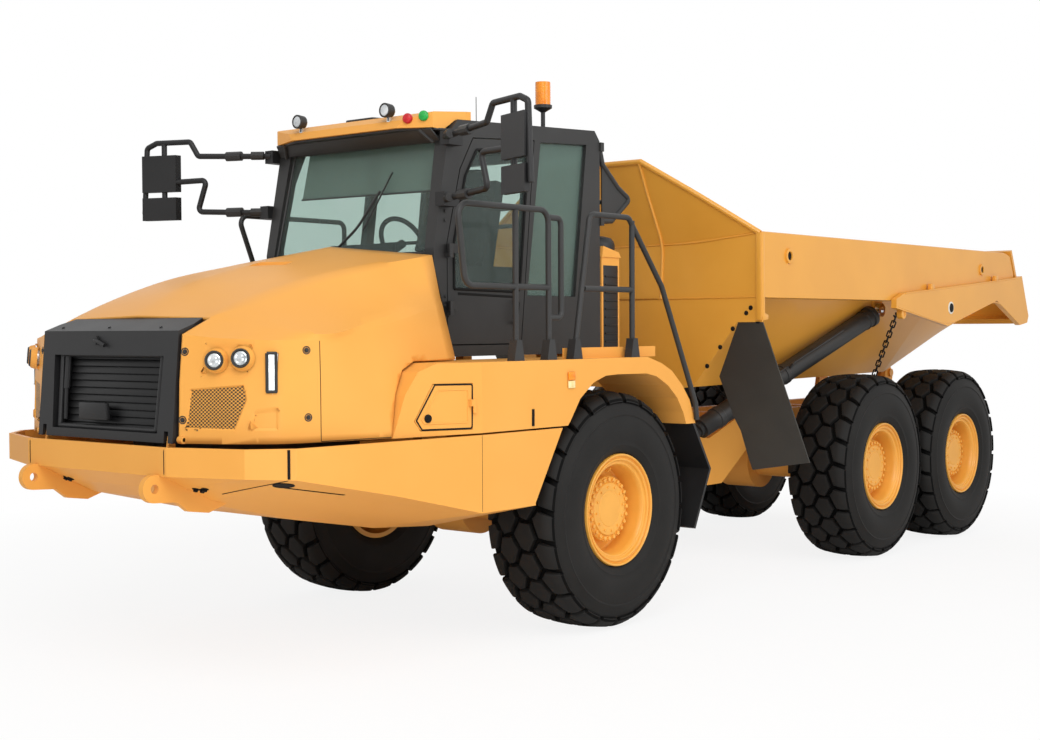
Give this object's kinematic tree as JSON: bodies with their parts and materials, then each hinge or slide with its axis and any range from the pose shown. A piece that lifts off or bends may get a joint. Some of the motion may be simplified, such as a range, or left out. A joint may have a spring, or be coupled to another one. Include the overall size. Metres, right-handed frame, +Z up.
{
  "type": "articulated dump truck",
  "caption": "Three-axle articulated dump truck with a tilting hood, a glazed centre cab, an articulated hitch and a tipping body with a chain-held tailgate",
  "frame": {"origin": "on the ground, halfway along the whole truck and midway between its wheels", "axes": "+X towards the hood, +Y to the driver's left, +Z up"},
  "size_m": [10.4729, 3.678, 3.825],
  "materials": {
    "beacon_amber": "gloss",
    "bed_paint": "satin",
    "black_paint": "satin",
    "chain_steel": "satin",
    "chrome_rod": "gloss",
    "engine_iron": "matte",
    "flap_rubber": "matte",
    "grille_black": "matte",
    "lamp_glass": "gloss",
    "rim_paint": "satin",
    "seat_fabric": "matte",
    "trim_plastic": "matte",
    "tyre_rubber": "matte",
    "window_glass": "gloss",
    "yellow_paint": "satin"
  },
  "bodies": {
    "front_frame": {"front_chassis": "yellow_paint", "front_axle": "yellow_paint", "engine_block": "engine_iron", "bumper_skirts": "yellow_paint", "fenders": "yellow_paint", "cab_shell": "black_paint", "cab_glass": "window_glass", "roof_cap": "yellow_paint", "roof_lamps": "lamp_glass", "cab_interior": "seat_fabric", "handrails": "black_paint", "mirrors": "trim_plastic", "rear_guard": "black_paint", "intake_stack": "yellow_paint", "beacon": "beacon_amber", "mudguards": "trim_plastic"},
    "hood": {"hood_shell": "yellow_paint", "headlamps": "lamp_glass"},
    "grille": {"grille_frame": "grille_black", "grille_panel": "grille_black"},
    "cab_door_leaf": {"cab_door": "black_paint", "cab_door_glass": "window_glass"},
    "locker_leaf": {"locker_door": "yellow_paint"},
    "hitch_body": {"hitch": "yellow_paint"},
    "rear_frame": {"rear_chassis": "yellow_paint", "bogie_axles": "yellow_paint"},
    "load_body": {"dump_body": "bed_paint", "body_flaps": "flap_rubber"},
    "gate": {"tailgate": "bed_paint"},
    "gate_chains": {"tailgate_chains": "chain_steel"},
    "hoist_barrel_body_left": {"hoist_barrel_left": "black_paint"},
    "hoist_rod_body_left": {"hoist_rod_left": "chrome_rod"},
    "steer_barrel_body_left": {"steer_barrel_left": "black_paint"},
    "steer_rod_body_left": {"steer_rod_left": "chrome_rod"},
    "wheel_front_left": {"tyre_front_left": "tyre_rubber", "rim_front_left": "rim_paint"},
    "wheel_mid_left": {"tyre_mid_left": "tyre_rubber", "rim_mid_left": "rim_paint"},
    "wheel_rear_left": {"tyre_rear_left": "tyre_rubber", "rim_rear_left": "rim_paint"},
    "hoist_barrel_body_right": {"hoist_barrel_right": "black_paint"},
    "hoist_rod_body_right": {"hoist_rod_right": "chrome_rod"},
    "steer_barrel_body_right": {"steer_barrel_right": "black_paint"},
    "steer_rod_body_right": {"steer_rod_right": "chrome_rod"},
    "wheel_front_right": {"tyre_front_right": "tyre_rubber", "rim_front_right": "rim_paint"},
    "wheel_mid_right": {"tyre_mid_right": "tyre_rubber", "rim_mid_right": "rim_paint"},
    "wheel_rear_right": {"tyre_rear_right": "tyre_rubber", "rim_rear_right": "rim_paint"}
  },
  "joints": [
    {"name": "spin_front_left", "type": "hinge", "parent": "front_frame", "child": "wheel_front_left", "pos_m": [1.9285, 1.1375, 0.8085], "axis": [0, 1, 0], "continuous": true},
    {"name": "spin_front_right", "type": "hinge", "parent": "front_frame", "child": "wheel_front_right", "pos_m": [1.9285, -1.1375, 0.8085], "axis": [0, 1, 0], "continuous": true},
    {"name": "spin_mid_left", "type": "hinge", "parent": "rear_frame", "child": "wheel_mid_left", "pos_m": [-2.0645, 1.1375, 0.8085], "axis": [0, 1, 0], "continuous": true},
    {"name": "spin_mid_right", "type": "hinge", "parent": "rear_frame", "child": "wheel_mid_right", "pos_m": [-2.0645, -1.1375, 0.8085], "axis": [0, 1, 0], "continuous": true},
    {"name": "spin_rear_left", "type": "hinge", "parent": "rear_frame", "child": "wheel_rear_left", "pos_m": [-3.7645, 1.1375, 0.8085], "axis": [0, 1, 0], "continuous": true},
    {"name": "spin_rear_right", "type": "hinge", "parent": "rear_frame", "child": "wheel_rear_right", "pos_m": [-3.7645, -1.1375, 0.8085], "axis": [0, 1, 0], "continuous": true},
    {"name": "steering", "type": "hinge", "parent": "front_frame", "child": "hitch_body", "pos_m": [0.4785, 0, 1], "axis": [0, 0, 1], "range_deg": [-45, 45]},
    {"name": "oscillation", "type": "hinge", "parent": "hitch_body", "child": "rear_frame", "pos_m": [0.1785, 0, 1], "axis": [-1, 0, 0], "range_deg": [-15, 15]},
    {"name": "hood_tilt", "type": "hinge", "parent": "front_frame", "child": "hood", "pos_m": [5.0285, 0, 1.44], "axis": [0, 1, 0], "range_deg": [0, 55]},
    {"name": "grille_fold", "type": "hinge", "parent": "front_frame", "child": "grille", "pos_m": [5.0285, 0, 1.44], "axis": [0, 1, 0], "range_deg": [0, 80]},
    {"name": "cab_door_swing", "type": "hinge", "parent": "front_frame", "child": "cab_door_leaf", "pos_m": [2.9985, 0.838, 2.4], "axis": [0, 0, -1], "range_deg": [0, 36]},
    {"name": "locker_swing", "type": "hinge", "parent": "front_frame", "child": "locker_leaf", "pos_m": [3.4695, 1.441, 1.58], "axis": [0, 0, 1], "range_deg": [0, 90]},
    {"name": "dump", "type": "hinge", "parent": "rear_frame", "child": "load_body", "pos_m": [-4.2715, 0, 1.56], "axis": [0, -1, 0], "range_deg": [0, 70]},
    {"name": "gate_swing", "type": "hinge", "parent": "load_body", "child": "gate", "pos_m": [-3.2815, 0, 2.21], "axis": [0, 1, 0], "range_deg": [0, 92.45]},
    {"name": "chain_swing", "type": "hinge", "parent": "rear_frame", "child": "gate_chains", "pos_m": [-3.1215, 0, 1.1], "axis": [0, -1, 0], "range_deg": [0, 62.63]},
    {"name": "hoist_lean_left", "type": "hinge", "parent": "rear_frame", "child": "hoist_barrel_body_left", "pos_m": [-0.2215, 0.6, 1.17], "axis": [0.4429, 0.6514, 0.6161], "range_deg": [0, 8.11]},
    {"name": "hoist_stroke_left", "type": "slide", "parent": "hoist_barrel_body_left", "child": "hoist_rod_body_left", "axis": [-0.8879, 0.223, 0.4025], "range_m": [0, 2.14058]},
    {"name": "hoist_lean_right", "type": "hinge", "parent": "rear_frame", "child": "hoist_barrel_body_right", "pos_m": [-0.2215, -0.6, 1.17], "axis": [-0.4429, 0.6514, -0.6161], "range_deg": [0, 8.11]},
    {"name": "hoist_stroke_right", "type": "slide", "parent": "hoist_barrel_body_right", "child": "hoist_rod_body_right", "axis": [-0.8879, -0.223, 0.4025], "range_m": [0, 2.14058]},
    {"name": "steer_lean_left", "type": "hinge", "parent": "front_frame", "child": "steer_barrel_body_left", "pos_m": [1.4785, 0.56, 1], "axis": [0, 0, 1], "range_deg": [-5.58, 5.58]},
    {"name": "steer_stroke_left", "type": "slide", "parent": "steer_barrel_body_left", "child": "steer_rod_body_left", "axis": [-0.9898, -0.1425, 0], "range_m": [-0.30505, 0.30505]},
    {"name": "steer_lean_right", "type": "hinge", "parent": "front_frame", "child": "steer_barrel_body_right", "pos_m": [1.4785, -0.56, 1], "axis": [0, 0, 1], "range_deg": [-5.58, 5.58]},
    {"name": "steer_stroke_right", "type": "slide", "parent": "steer_barrel_body_right", "child": "steer_rod_body_right", "axis": [-0.9898, 0.1425, 0], "range_m": [-0.30505, 0.30505]}
  ],
  "couplings": [
    {"joint": "gate_swing", "follows": "dump", "ratio": 1.3136},
    {"joint": "chain_swing", "follows": "dump", "ratio": 0.88758},
    {"joint": "hoist_lean_left", "follows": "dump", "ratio": 0.11303},
    {"joint": "hoist_stroke_left", "follows": "dump", "m_per_rad": 1.748},
    {"joint": "hoist_lean_right", "follows": "dump", "ratio": 0.11303},
    {"joint": "hoist_stroke_right", "follows": "dump", "m_per_rad": 1.748},
    {"joint": "steer_lean_left", "follows": "steering", "ratio": 0.1195},
    {"joint": "steer_stroke_left", "follows": "steering", "m_per_rad": 0.38459},
    {"joint": "steer_lean_right", "follows": "steering", "ratio": 0.1195},
    {"joint": "steer_stroke_right", "follows": "steering", "m_per_rad": -0.38459}
  ]
}
